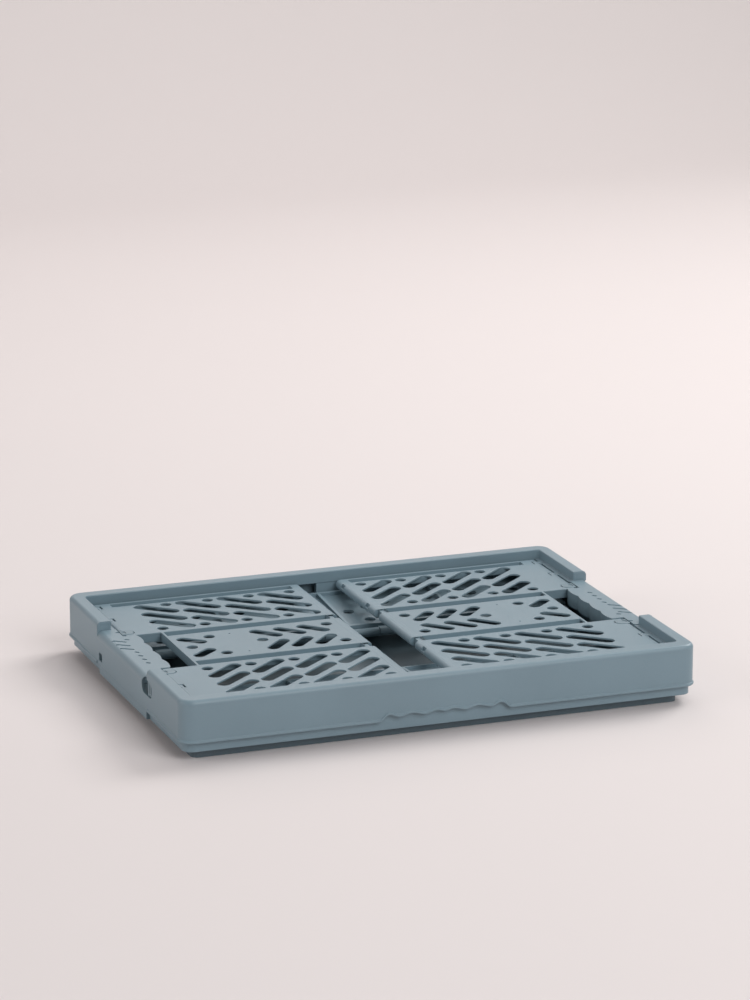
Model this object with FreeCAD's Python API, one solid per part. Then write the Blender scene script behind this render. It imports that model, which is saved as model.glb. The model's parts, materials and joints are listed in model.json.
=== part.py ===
"""Folding storage crate, folded flat, in millimetres.

The origin is on the floor under the middle of the crate, X runs along the long side, Y to the back
and Z up. The crate stands folded: the rim lies over the base, the long walls are folded inwards
between them, and the two end walls lie flat on top, inside the rim.
"""
import FreeCAD
import Part
import math
import os

# Overall size, folded
LENGTH = 480.0
WIDTH = 350.0
FOLDED_HEIGHT = 55.0
ERECTED_HEIGHT = 240.0

# Rim frame
SKIRT_BOTTOM = 17.0
WALL = 2.5
BEAD = 1.0
BEAD_HEIGHT = 2.5
CORNER_RADIUS = 13.0
TOP_FILLET = 4.0
FLANGE_LONG = 16.0
FLANGE_END = 14.0
LIP_WALL = 2.2
LIP_BOTTOM = 44.0
LEDGE_TOP = 46.3
NOTCH_HALF = 75.0
NOTCH_BOTTOM = 40.0

# Base tray
BASE_RECESS = 4.5
PLINTH_RECESS = 14.0
PLINTH_HEIGHT = 8.5
STEP_TOP = 10.7
FLOOR_BOTTOM = 4.0
FLOOR_TOP = 6.5
BASE_WALL_TOP = 28.0

# Folding long walls
BASE_HINGE_Z = 14.5
HINGE_RISE = 16.0
LONG_HINGE_Y = 163.0
HALF_WALL_LENGTH = 430.0
HALF_WALL_DEPTH = 6.0
FACE_GAP = 0.3
PLATE = 2.5
KNUCKLE_RADIUS = 3.5
KNUCKLE_REACH = 4.2
KNUCKLE_COUNT = 16
KNUCKLE_GAP = 0.6

# Rods and their bores
ROD_RADIUS = 1.5
BORE_RADIUS = 1.56
OPEN_BORE_RADIUS = 2.1

# End walls
PANEL_TOP = 46.5
PANEL_PLATE = 2.8
PANEL_HALF_WIDTH = 155.0
PANEL_LENGTH = 200.0
PANEL_UNDERSIDE = 38.0
END_HINGE_X = 217.9
END_KNUCKLE_RADIUS = 3.3
CHANNEL_CENTRE = 46.0
CHANNEL_WIDTH = 12.4
CHANNEL_DEPTH = 5.0
OUTER_CHANNEL_CENTRE = 147.6
OUTER_CHANNEL_WIDTH = 9.8
OUTER_CHANNEL_START = 14.0
CHANNEL_END = 10.5
HAND_HALF_WIDTH = 52.5
HAND_DEPTH = 32.0
COLLAR = 2.2

# Perforation of the walls
SLOT_WIDTH = 12.2
SLOT_SPAN = 33.0
SLOT_ANGLE = 41.0
SHORT_SLOT_WIDTH = 11.2
SHORT_SLOT_SPAN = 20.0
DOT_DIAMETER = 10.4
COLUMN_PITCH = 40.0
ROW_PITCH = 24.5

# Handle grips
GRIP_TOP = 47.0
GRIP_INNER_X = 208.0
GRIP_HALF = 51.0
GRIP_WALL = 2.6
GRIP_LOBES = 4
PORT_RADIUS = 7.2
PORT_LENGTH = 30.0
PORT_Y = 75.0
PORT_Z = 38.5
PORT_DEPTH = 3.5

# Derived sizes
RIM_HINGE_Z = BASE_HINGE_Z + HINGE_RISE
HALF_SPAN = (ERECTED_HEIGHT - FOLDED_HEIGHT + HINGE_RISE) / 2.0
FOLDED_TILT = math.degrees(math.asin(HINGE_RISE / 2.0 / HALF_SPAN))
END_HINGE_Z = PANEL_TOP - END_KNUCKLE_RADIUS
FACE_X = LENGTH / 2.0 - BEAD
FACE_Y = WIDTH / 2.0 - BEAD
LIP_X = LENGTH / 2.0 - FLANGE_END
LIP_Y = WIDTH / 2.0 - FLANGE_LONG

FREE = 0.3
FAR = 1000.0
ORIGIN = FreeCAD.Vector(0, 0, 0)
X_AXIS = FreeCAD.Vector(1, 0, 0)
Y_AXIS = FreeCAD.Vector(0, 1, 0)
Z_AXIS = FreeCAD.Vector(0, 0, 1)


def block(x0, x1, y0, y1, z0, z1):
    """A box between two corners, whichever way round the corners are given."""
    low = FreeCAD.Vector(min(x0, x1), min(y0, y1), min(z0, z1))
    return Part.makeBox(abs(x1 - x0), abs(y1 - y0), abs(z1 - z0), low)


def rod(radius, start, end, y, z, along=X_AXIS):
    """A round bar along X at (y, z), or along Y where y is then the x of its axis."""
    base = FreeCAD.Vector(start, y, z) if along is X_AXIS else FreeCAD.Vector(y, start, z)
    return Part.makeCylinder(radius, end - start, base, along)


def rounded_rectangle(half_x, half_y, radius, z):
    """A closed wire: a rectangle about the Z axis with round corners."""
    edges = []
    for turn in range(4):
        sx, sy = ((1, 1), (-1, 1), (-1, -1), (1, -1))[turn]
        centre = FreeCAD.Vector(sx * (half_x - radius), sy * (half_y - radius), z)
        edges.append(Part.ArcOfCircle(Part.Circle(centre, Z_AXIS, radius),
                                      turn * math.pi / 2, (turn + 1) * math.pi / 2).toShape())
    wire = []
    for index, arc in enumerate(edges):
        following = edges[(index + 1) % 4]
        wire.append(arc)
        wire.append(Part.LineSegment(arc.Vertexes[-1].Point, following.Vertexes[0].Point).toShape())
    return Part.Wire(wire)


def rounded_block(half_x, half_y, radius, z0, z1):
    """An upright prism with round corners, about the Z axis."""
    face = Part.Face(rounded_rectangle(half_x, half_y, radius, z0))
    return face.extrude(FreeCAD.Vector(0, 0, z1 - z0))


def ring(half_x, half_y, radius, wall, z0, z1):
    """An upright wall that follows a rounded rectangle, measured from its outer face inwards."""
    inner_radius = max(radius - wall, 0.5)
    outer = rounded_block(half_x, half_y, radius, z0, z1)
    return outer.cut(rounded_block(half_x - wall, half_y - wall, inner_radius, z0 - 1, z1 + 1))


def slot_wire(x, y, angle, span, width, z=0.0):
    """A round-ended slot: span is between the centres of its two ends."""
    if span <= 0:
        return Part.Wire(Part.Circle(FreeCAD.Vector(x, y, z), Z_AXIS, width / 2.0).toShape())
    turn = math.radians(angle)
    along = FreeCAD.Vector(math.cos(turn), math.sin(turn), 0)
    across = FreeCAD.Vector(-math.sin(turn), math.cos(turn), 0)
    middle = FreeCAD.Vector(x, y, z)
    r = width / 2.0
    near = middle - along * (span / 2.0)
    far = middle + along * (span / 2.0)
    return Part.Wire([
        Part.LineSegment(near - across * r, far - across * r).toShape(),
        Part.Arc(far - across * r, far + along * r, far + across * r).toShape(),
        Part.LineSegment(far + across * r, near + across * r).toShape(),
        Part.Arc(near + across * r, near - along * r, near - across * r).toShape(),
    ])


def perforated_plate(x0, x1, y0, y1, z0, z1, holes):
    """A flat plate with (x, y, angle, span, width) holes right through it."""
    corners = [(x0, y0), (x1, y0), (x1, y1), (x0, y1), (x0, y0)]
    outline = Part.makePolygon([FreeCAD.Vector(x, y, 0) for x, y in corners])
    face = Part.Face([outline] + [slot_wire(*hole) for hole in holes])
    if face.Area > (x1 - x0) * (y1 - y0):
        face = Part.Face(outline)
        face = face.cut(Part.Compound([Part.Face(slot_wire(*hole)) for hole in holes]))
    plate = face.extrude(FreeCAD.Vector(0, 0, z1 - z0))
    plate.translate(FreeCAD.Vector(0, 0, z0))
    return plate


def mirrored_y(shape):
    """The shape's mirror image in the XZ plane."""
    return shape.mirror(ORIGIN, Y_AXIS)


def half_turn(shape):
    """The shape turned half a turn about the Z axis."""
    copy = shape.copy()
    copy.rotate(ORIGIN, Z_AXIS, 180)
    return copy


def knuckle_spans(first, length):
    """X ranges of every second knuckle along a hinge; first is 0 or 1."""
    pitch = length / KNUCKLE_COUNT
    start = -length / 2.0
    return [(start + index * pitch + KNUCKLE_GAP / 2.0, start + (index + 1) * pitch - KNUCKLE_GAP / 2.0)
            for index in range(first, KNUCKLE_COUNT, 2)]


def wall_holes():
    """Slots and dots of one half of a long wall, as (x, s) from its outer hinge."""
    holes = []
    rows = (30.0, 54.0, 78.0)
    dot_reach = 12.5
    for column in range(-4, 5):
        if column == 0:
            continue
        lean = SLOT_ANGLE if column > 0 else -SLOT_ANGLE
        x = column * 44.0
        holes += [(x, s, lean, SLOT_SPAN - 8.0, SLOT_WIDTH) for s in rows[:2]]
        holes.append((x, rows[2], lean, 0, DOT_DIAMETER))
        holes.append((x - math.copysign(dot_reach * 1.4, column), rows[2], lean, 0, DOT_DIAMETER))
    holes += [(x, rows[1], 0, 0, DOT_DIAMETER) for x in (-14.0, 14.0)]
    return holes


def half_wall(outer_first, mid_first, outer_bore):
    """One half of a folding long wall, lying flat.

    The outer hinge axis is the X axis and the mid hinge axis is parallel to it at y = HALF_SPAN. The
    face that is outside on the standing crate is underneath, FACE_GAP above the plane of both axes.
    """
    half = HALF_WALL_LENGTH / 2.0
    near, far = KNUCKLE_REACH, HALF_SPAN - KNUCKLE_REACH
    rib = 3.0
    top = HALF_WALL_DEPTH
    holes = [(x, s, angle, span, width) for x, s, angle, span, width in wall_holes()]
    plate = perforated_plate(-half, half, near, far, FACE_GAP, FACE_GAP + PLATE, holes)
    solids = [plate]
    for y0, y1 in ((near + 2.0, near + 2.0 + rib), (far - rib, far)):
        solids.append(block(-half, half, y0, y1, FACE_GAP, top))
    for x in (-half, -half / 2.0 - 1.5, -rib / 2.0, half / 2.0 - 1.5, half - rib):
        solids.append(block(x, x + rib, near + 2.0, far, FACE_GAP, top))
    for first, axis, edge in ((outer_first, 0.0, near + 3.0), (mid_first, HALF_SPAN, far - 3.0)):
        for x0, x1 in knuckle_spans(first, HALF_WALL_LENGTH):
            solids.append(rod(KNUCKLE_RADIUS, x0, x1, axis, 0.0))
            solids.append(block(x0, x1, axis, edge, FACE_GAP, KNUCKLE_RADIUS - 0.2))
    wall = solids[0].fuse(solids[1:])
    wall = wall.cut([rod(outer_bore, -half - 1, half + 1, 0.0, 0.0),
                     rod(BORE_RADIUS, -half - 1, half + 1, HALF_SPAN, 0.0)])
    return wall.removeSplitter()


def place_lower(wall):
    """Put a lower half on the front base hinge: its outside face looks up, towards the upper half."""
    wall = wall.copy()
    wall = wall.mirror(ORIGIN, Z_AXIS)
    wall.rotate(ORIGIN, X_AXIS, FOLDED_TILT)
    wall.translate(FreeCAD.Vector(0, -LONG_HINGE_Y, BASE_HINGE_Z))
    return wall


def place_upper(wall):
    """Put an upper half on the front rim hinge: its outside face looks down, onto the lower half."""
    wall = wall.copy()
    wall.rotate(ORIGIN, X_AXIS, -FOLDED_TILT)
    wall.translate(FreeCAD.Vector(0, -LONG_HINGE_Y, RIM_HINGE_Z))
    return wall


def base_tray():
    """Tray that stands on the floor, with the long walls' hinge lugs inside its wall."""
    half_x, half_y = LENGTH / 2.0 - BASE_RECESS, WIDTH / 2.0 - BASE_RECESS
    foot_x, foot_y = LENGTH / 2.0 - PLINTH_RECESS, WIDTH / 2.0 - PLINTH_RECESS
    radius = CORNER_RADIUS - BASE_RECESS + BEAD
    solids = [ring(half_x, half_y, radius, WALL, PLINTH_HEIGHT, BASE_WALL_TOP),
              rounded_block(half_x, half_y, radius, PLINTH_HEIGHT, STEP_TOP).cut(
                  rounded_block(foot_x - WALL, foot_y - WALL, 3.0, 0, FOLDED_HEIGHT)),
              ring(foot_x, foot_y, 6.0, WALL, 0.0, STEP_TOP),
              rounded_block(foot_x - 1, foot_y - 1, 5.0, FLOOR_BOTTOM, FLOOR_TOP)]
    rib = 2.4
    for step in range(-3, 4):
        solids.append(block(step * 56.0 - rib / 2, step * 56.0 + rib / 2, -foot_y + 1, foot_y - 1,
                            1.0, FLOOR_BOTTOM + 0.5))
    for step in range(-1, 2):
        solids.append(block(-foot_x + 1, foot_x - 1, step * 80.0 - rib / 2, step * 80.0 + rib / 2,
                            1.0, FLOOR_BOTTOM + 0.5))
    for side in (1, -1):
        flush = side * (FACE_X - 0.5)
        solids.append(block(side * (half_x - 1), flush, -NOTCH_HALF + 4, NOTCH_HALF - 4,
                            PLINTH_HEIGHT, SKIRT_BOTTOM - 0.6))
        for y in (-40.0, 40.0):
            solids.append(block(side * 206.0, side * 212.0, y - 9, y + 9, FLOOR_TOP - 0.5, 11.0))
    lug = KNUCKLE_RADIUS
    for x0, x1 in knuckle_spans(0, HALF_WALL_LENGTH):
        for side in (1, -1):
            axis = side * LONG_HINGE_Y
            solids.append(rod(lug, x0, x1, axis, BASE_HINGE_Z))
            solids.append(block(x0, x1, axis - lug, axis + lug, STEP_TOP - 1, BASE_HINGE_Z))
    tray = solids[0].fuse(solids[1:])
    bores = [rod(BORE_RADIUS, -HALF_WALL_LENGTH / 2 - 1, HALF_WALL_LENGTH / 2 + 1, side * LONG_HINGE_Y,
                 BASE_HINGE_Z) for side in (1, -1)]
    return tray.cut(bores).removeSplitter()


def port_prism(end, inset):
    """Oval prism through the outer face beside the front end of a grip; inset makes it smaller."""
    outline = Part.Face(slot_wire(0, 0, 0, PORT_LENGTH - 2 * PORT_RADIUS, 2 * (PORT_RADIUS - inset)))
    prism = outline.extrude(Z_AXIS * (PORT_DEPTH + 1.0))
    prism.rotate(ORIGIN, Y_AXIS, 90)
    prism.rotate(ORIGIN, X_AXIS, 90)
    prism.translate(FreeCAD.Vector(FACE_X - PORT_DEPTH, PORT_Y, PORT_Z))
    return prism if end > 0 else half_turn(prism)


def finger_cut(side):
    """Wavy finger grip along the lower edge of one long side: two groups of three scallops."""
    y0, y1 = side * (WIDTH / 2.0 + 1), side * (FACE_Y - WALL - 1)
    cuts = []
    for group in (-1, 1):
        for index, (width, rise) in enumerate(((17.0, 7.5), (19.0, 5.5), (17.0, 7.0))):
            x = group * 33.0 + group * (index - 1) * 18.0
            radius = (width * width / 4.0 + rise * rise) / (2.0 * rise)
            disc = Part.makeCylinder(radius, abs(y1 - y0),
                                     FreeCAD.Vector(x, min(y0, y1), SKIRT_BOTTOM + rise - radius), Y_AXIS)
            cuts.append(disc.common(block(x - width, x + width, y0, y1, SKIRT_BOTTOM - 5, LIP_BOTTOM)))
    return cuts


def rim_frame():
    """Top frame: deep skirt, flange, inner lip, handle notches and all the hinge lugs under it."""
    shell = rounded_block(FACE_X, FACE_Y, CORNER_RADIUS, SKIRT_BOTTOM, FOLDED_HEIGHT)
    top_edges = [edge for edge in shell.Edges
                 if all(abs(v.Z - FOLDED_HEIGHT) < 0.01 for v in edge.Vertexes)]
    shell = shell.makeFillet(TOP_FILLET, top_edges)
    shell = shell.cut([rounded_block(FACE_X - WALL, FACE_Y - WALL, CORNER_RADIUS - WALL,
                                     0, FOLDED_HEIGHT - WALL),
                       rounded_block(LIP_X, LIP_Y, 4.0, 0, FOLDED_HEIGHT + 1)])
    solids = [ring(LENGTH / 2, WIDTH / 2, CORNER_RADIUS + BEAD, WALL, SKIRT_BOTTOM,
                   SKIRT_BOTTOM + BEAD_HEIGHT),
              ring(LIP_X + LIP_WALL, LIP_Y + LIP_WALL, 4.0 + LIP_WALL, LIP_WALL, LIP_BOTTOM,
                   FOLDED_HEIGHT - 1.0)]
    knuckle_edge = END_HINGE_X + END_KNUCKLE_RADIUS + FREE
    for end in (-1, 1):
        solids.append(block(end * knuckle_edge, end * (LIP_X + 1), -LIP_Y, LIP_Y, LIP_BOTTOM, LEDGE_TOP))
        for side in (-1, 1):
            solids += end_lugs(end, side)
            step = side * NOTCH_HALF
            solids.append(block(end * (LIP_X + 0.5), end * (FACE_X - 1), step, step + side * WALL,
                                BASE_WALL_TOP + 0.8, FOLDED_HEIGHT - 1))
    for x0, x1 in knuckle_spans(0, HALF_WALL_LENGTH):
        for side in (-1, 1):
            axis = side * LONG_HINGE_Y
            solids.append(rod(KNUCKLE_RADIUS, x0, x1, axis, RIM_HINGE_Z))
            solids.append(block(x0, x1, axis - KNUCKLE_RADIUS, axis + KNUCKLE_RADIUS, RIM_HINGE_Z,
                                FOLDED_HEIGHT - WALL + 0.5))
    rim = shell.fuse(solids)
    cuts = []
    for end in (-1, 1):
        cuts.append(block(end * (LIP_X - 6), end * FAR, -NOTCH_HALF, NOTCH_HALF, NOTCH_BOTTOM, FAR))
        cuts.append(block(end * FACE_X, end * FAR, -NOTCH_HALF, NOTCH_HALF, 0, NOTCH_BOTTOM))
        cuts.append(port_prism(end, 0.0))
        slot_y = -end * (NOTCH_HALF - 1)
        cuts.append(block(end * (FACE_X - WALL - 1), end * FAR, slot_y - 1.5, slot_y + 1.5, 20.0, 31.0))
        for side in (-1, 1):
            y0, y1 = side * 50.0, side * (LIP_Y + 1)
            cuts.append(rod(BORE_RADIUS, min(y0, y1), max(y0, y1), end * END_HINGE_X, END_HINGE_Z, Y_AXIS))
    for side in (-1, 1):
        cuts += finger_cut(side)
        cuts.append(rod(BORE_RADIUS, -HALF_WALL_LENGTH / 2 - 1, HALF_WALL_LENGTH / 2 + 1,
                        side * LONG_HINGE_Y, RIM_HINGE_Z))
    return rim.cut(cuts).removeSplitter()


END_LUG_SPANS = ((56.0, 68.0), (100.0, 108.0), (141.0, 149.0))


def end_lugs(end, side):
    """Lugs that carry one end-wall hinge rod; the one by the grip is cut down for its D-shaped cap."""
    solids = []
    for index, (y0, y1) in enumerate(END_LUG_SPANS):
        y0, y1 = side * y0, side * y1
        barrel = rod(END_KNUCKLE_RADIUS, min(y0, y1), max(y0, y1), end * END_HINGE_X, END_HINGE_Z, Y_AXIS)
        web = block(end * END_HINGE_X, end * (LIP_X + 1), y0, y1, END_HINGE_Z - END_KNUCKLE_RADIUS,
                    LEDGE_TOP)
        if index == 0:
            lid = block(end * (END_HINGE_X - 10), end * FAR, y0, y1, END_HINGE_Z, FOLDED_HEIGHT)
            barrel, web = barrel.cut(lid), web.cut(lid)
            web = web.fuse(block(end * (END_HINGE_X + 4.5), end * (LIP_X + 2), y0, y1,
                                 END_HINGE_Z - END_KNUCKLE_RADIUS, NOTCH_BOTTOM - 0.5))
            web = web.fuse(block(end * (END_HINGE_X + 4.5), end * (FACE_X - 1), y0, y1,
                                 NOTCH_BOTTOM - 2.5, NOTCH_BOTTOM))
        solids += [barrel, web]
    return solids


def cap_outline(end, side, grow, z0, z1):
    """D-shaped prism over the hinge lug beside the grip; grow widens it into its clearance hole."""
    y0, y1 = END_LUG_SPANS[0]
    middle, radius = (y0 + y1) / 2.0, (y1 - y0) / 2.0 + grow
    centre_x = END_HINGE_X - 3.5
    disc = Part.makeCylinder(radius, z1 - z0, FreeCAD.Vector(end * centre_x, side * middle, z0))
    return disc.fuse(block(end * centre_x, end * (END_HINGE_X + END_KNUCKLE_RADIUS + 0.1 + grow),
                           side * (middle - radius), side * (middle + radius), z0, z1))


def hinge_caps(end):
    """Two snap-on caps that close the hinge lugs beside the grip, over the ends of the rods."""
    caps = []
    for side in (-1, 1):
        cap = cap_outline(end, side, -0.3, END_HINGE_Z + 0.1, PANEL_TOP + 0.4)
        bore = rod(BORE_RADIUS, -FAR / 2, FAR / 2, end * END_HINGE_X, END_HINGE_Z, Y_AXIS)
        middle = side * sum(END_LUG_SPANS[0]) / 2.0
        mark = block(end * (END_HINGE_X - 1.5), end * (END_HINGE_X + 1.5), middle - 3, middle + 3,
                     PANEL_TOP - 0.3, FAR)
        caps.append(cap.cut([bore, mark]))
    return Part.Compound(caps)


def panel_holes():
    """Slots and dots of the left end wall, as (distance from the hinge, y, angle, span, width)."""
    holes = []
    outer_rows = [99.5 + (row - 1) * ROW_PITCH for row in range(3)]
    dot_u, dot_v = 12.5, 10.8
    for side in (1, -1):
        lean = -side * SLOT_ANGLE
        for column in range(4):
            u = 50.0 + column * COLUMN_PITCH
            holes += [(u, side * v, lean, SLOT_SPAN, SLOT_WIDTH) for v in outer_rows]
            holes.append((u + dot_u, side * (outer_rows[2] + dot_v), 0, 0, DOT_DIAMETER))
            holes.append((u - dot_u, side * (outer_rows[0] - dot_v), 0, 0, DOT_DIAMETER))
        for u in (119.5, 142.0, 164.5):
            holes.append((u, side * 17.5, lean * 1.15, SHORT_SLOT_SPAN + 2, SHORT_SLOT_WIDTH))
        holes.append((50.0, side * 19.0, lean, SHORT_SLOT_SPAN - 2, SHORT_SLOT_WIDTH))
        holes.append((68.5, side * 25.5, 0, 0, DOT_DIAMETER))
        holes.append((180.0, side * 26.0, 0, 0, DOT_DIAMETER))
    holes += [(44.5, 0.0, 0, 0, DOT_DIAMETER), (110.5, 0.0, 0, 0, DOT_DIAMETER)]
    return holes


def channel(u0, u1, centre, width, wall):
    """A trough along the panel: its outer block and the groove cut into it."""
    outer = block(u0, u1, centre - width / 2 - wall, centre + width / 2 + wall,
                  PANEL_TOP - CHANNEL_DEPTH - 2.0, PANEL_TOP)
    groove = block(u0, u1, centre - width / 2, centre + width / 2, PANEL_TOP - CHANNEL_DEPTH, FAR)
    return outer, groove


def end_wall():
    """Left end wall, lying flat over the folded long walls; u is the distance from its hinge."""
    free_bar = 5.0
    plate = perforated_plate(0.0, PANEL_LENGTH - free_bar, -PANEL_HALF_WIDTH, PANEL_HALF_WIDTH,
                             PANEL_TOP - PANEL_PLATE, PANEL_TOP, panel_holes())
    solids, cuts = [], []
    for side in (-1, 1):
        for u0, centre, width in ((HAND_DEPTH + COLLAR, CHANNEL_CENTRE, CHANNEL_WIDTH),
                                  (OUTER_CHANNEL_START, OUTER_CHANNEL_CENTRE, OUTER_CHANNEL_WIDTH)):
            outer, groove = channel(u0, PANEL_LENGTH - CHANNEL_END, side * centre, width, COLLAR)
            solids.append(outer)
            cuts.append(groove)
        solids.append(block(0, PANEL_LENGTH - free_bar, side * (PANEL_HALF_WIDTH - 2.5),
                            side * PANEL_HALF_WIDTH, PANEL_TOP - CHANNEL_DEPTH - 2.0, PANEL_TOP))
        solids.append(block(5.0, HAND_DEPTH, side * HAND_HALF_WIDTH, side * (HAND_HALF_WIDTH + COLLAR),
                            PANEL_UNDERSIDE, PANEL_TOP))
        solids.append(rod(END_KNUCKLE_RADIUS, min(side * 54.7, side * 155.0), max(side * 54.7, side * 155.0),
                          0.0, END_HINGE_Z, Y_AXIS))
    solids.append(block(HAND_DEPTH, HAND_DEPTH + COLLAR, -HAND_HALF_WIDTH - COLLAR,
                        HAND_HALF_WIDTH + COLLAR, PANEL_UNDERSIDE, PANEL_TOP))
    bar_depth = PANEL_TOP - PANEL_UNDERSIDE
    for v0, v1 in ((-PANEL_HALF_WIDTH, -CHANNEL_CENTRE - 6), (-CHANNEL_CENTRE + 6, CHANNEL_CENTRE - 6),
                   (CHANNEL_CENTRE + 6, PANEL_HALF_WIDTH)):
        nose = rod(bar_depth / 2, v0, v1, PANEL_LENGTH - bar_depth / 2, PANEL_TOP - bar_depth / 2, Y_AXIS)
        solids.append(nose)
        solids.append(block(PANEL_LENGTH - 9.0, PANEL_LENGTH - bar_depth / 2, v0, v1, PANEL_UNDERSIDE,
                            PANEL_TOP))
    solids.append(block(PANEL_LENGTH - 10.0, PANEL_LENGTH - free_bar, -PANEL_HALF_WIDTH,
                        PANEL_HALF_WIDTH, PANEL_UNDERSIDE + 2.0, PANEL_TOP - 1.5))
    wall = plate.fuse(solids)
    cuts.append(block(-FAR, HAND_DEPTH, -HAND_HALF_WIDTH, HAND_HALF_WIDTH, 0, FAR))
    for side in (-1, 1):
        cuts.append(rod(BORE_RADIUS, -FAR / 2, FAR / 2, 0.0, END_HINGE_Z, Y_AXIS))
        for y0, y1 in END_LUG_SPANS:
            y0, y1 = side * (y0 - KNUCKLE_GAP), side * (y1 + KNUCKLE_GAP)
            cuts.append(block(-END_KNUCKLE_RADIUS - 1, KNUCKLE_REACH + 0.4, y0, y1, 0, FAR))
        for v in (72.0, 138.0):
            cuts.append(block(PANEL_LENGTH - 2.6, FAR, side * v - 4, side * v + 4, PANEL_TOP - 4.0, FAR))
        clearance = cap_outline(-1, side, 1.5, 0, FAR)
        clearance.translate(FreeCAD.Vector(END_HINGE_X, 0, 0))
        cuts.append(clearance)
        for u, v in ((88.5, 28.0),):
            cuts.append(Part.makeCylinder(1.2, 1.0, FreeCAD.Vector(u, side * v, PANEL_TOP - 0.6)))
    wall = wall.cut(cuts)
    wall.translate(FreeCAD.Vector(-END_HINGE_X, 0, 0))
    return wall.removeSplitter()


def grip_outline():
    """Outline of the left grip from above: its inner edge has one shallow lobe for each finger."""
    back_x = -(END_HINGE_X + END_KNUCKLE_RADIUS + FREE + 0.4)
    wide = NOTCH_HALF - 0.2
    outer = -FACE_X
    points = [(back_x, GRIP_HALF), (back_x, wide), (outer, wide), (outer, -wide), (back_x, -wide),
              (back_x, -GRIP_HALF), (-GRIP_INNER_X - 2, -GRIP_HALF)]
    edges = [Part.LineSegment(FreeCAD.Vector(*a, 0), FreeCAD.Vector(*b, 0)).toShape()
             for a, b in zip(points, points[1:])]
    pitch = 2.0 * GRIP_HALF / GRIP_LOBES
    for lobe in range(GRIP_LOBES):
        y0 = -GRIP_HALF + lobe * pitch
        a = FreeCAD.Vector(-GRIP_INNER_X - 2, y0, 0)
        m = FreeCAD.Vector(-GRIP_INNER_X, y0 + pitch / 2, 0)
        b = FreeCAD.Vector(-GRIP_INNER_X - 2, y0 + pitch, 0)
        edges.append(Part.Arc(a, m, b).toShape())
    edges.append(Part.LineSegment(FreeCAD.Vector(-GRIP_INNER_X - 2, GRIP_HALF, 0),
                                  FreeCAD.Vector(back_x, GRIP_HALF, 0)).toShape())
    return Part.Wire(edges)


def grip_marks():
    """Non-slip pattern on the grip: three long slanted grooves, then two rows of short ones."""
    marks = []
    for index in range(3):
        marks.append((-226.0, 46.0 - index * 9.0, 22.0, 14.0, 2.4))
    marks.append((-220.0, 57.0, 10.0, 4.0, 2.6))
    marks.append((-224.0, 21.0, 0.0, 0.0, 3.0))
    for index in range(5):
        marks.append((-218.0, 10.0 - index * 10.0, 20.0, 3.0, 2.4))
    return marks


def handle_grip():
    """Left handle grip: a hollow bar that drops into the notch of the rim."""
    bottom = NOTCH_BOTTOM
    body = Part.Face(grip_outline()).extrude(FreeCAD.Vector(0, 0, GRIP_TOP - bottom))
    body.translate(FreeCAD.Vector(0, 0, bottom))
    lobes = Part.Face(grip_outline()).extrude(FreeCAD.Vector(0, 0, GRIP_TOP - 33.0))
    lobes.translate(FreeCAD.Vector(0, 0, 33.0))
    lobes = lobes.common(block(-GRIP_INNER_X - 5, -GRIP_INNER_X + 1, -GRIP_HALF, GRIP_HALF, 30, FAR))
    body = body.fuse(lobes)
    edge = FACE_X
    roll = 6.0
    corner = block(-edge - 1, -edge + roll, -FAR / 2, FAR / 2, GRIP_TOP - roll, GRIP_TOP + 1)
    round_bar = rod(roll, -FAR / 2, FAR / 2, -edge + roll, GRIP_TOP - roll, Y_AXIS)
    body = body.cut(corner.cut(round_bar))
    hollow = block(-FACE_X + GRIP_WALL, -GRIP_INNER_X - 5, -GRIP_HALF + GRIP_WALL, GRIP_HALF - GRIP_WALL,
                   0, GRIP_TOP - GRIP_WALL)
    wings = block(-FACE_X + GRIP_WALL, -(END_HINGE_X + 6.5), -NOTCH_HALF + GRIP_WALL,
                  NOTCH_HALF - GRIP_WALL, 0, GRIP_TOP - GRIP_WALL)
    marks = [Part.Face(slot_wire(*mark, z=GRIP_TOP - 0.8)).extrude(Z_AXIS * 5) for mark in grip_marks()]
    return body.cut([hollow, wings, port_prism(-1, 0.0)] + marks).removeSplitter()


def handle_plug():
    """Plug that fills the front half of the oval port and keeps the left grip from lifting out."""
    body = port_prism(-1, 0.1).common(block(-FACE_X + 0.3, -FACE_X + PORT_DEPTH + 0.1,
                                            -PORT_Y - PORT_LENGTH, -PORT_Y - 0.4, 0, FAR))
    grooves = [block(-FACE_X - 1, -FACE_X + 1.6, -PORT_Y + y - 0.9, -PORT_Y + y + 0.9,
                     PORT_Z - 4.0, PORT_Z + 4.0) for y in (-9.5, -5.0)]
    return body.cut(grooves)


def rods():
    """Every hinge rod, by the name of its part."""
    half = HALF_WALL_LENGTH / 2.0
    mid_y = LONG_HINGE_Y - HALF_SPAN * math.cos(math.radians(FOLDED_TILT))
    mid_z = (BASE_HINGE_Z + RIM_HINGE_Z) / 2.0
    made = {}
    for name, side in (("front", -1), ("back", 1)):
        made["base_hinge_rod_" + name] = rod(ROD_RADIUS, -half, half, side * LONG_HINGE_Y, BASE_HINGE_Z)
        made["mid_hinge_rod_" + name] = rod(ROD_RADIUS, -half, half, side * mid_y, mid_z)
        made["rim_hinge_rod_" + name] = rod(ROD_RADIUS, -half, half, side * LONG_HINGE_Y, RIM_HINGE_Z)
    for name, end in (("left", -1), ("right", 1)):
        pair = [rod(ROD_RADIUS, y0, y0 + 97.0, end * END_HINGE_X, END_HINGE_Z, Y_AXIS)
                for y0 in (-154.0, 57.0)]
        made["end_hinge_rods_" + name] = Part.Compound(pair)
    return made


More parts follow.
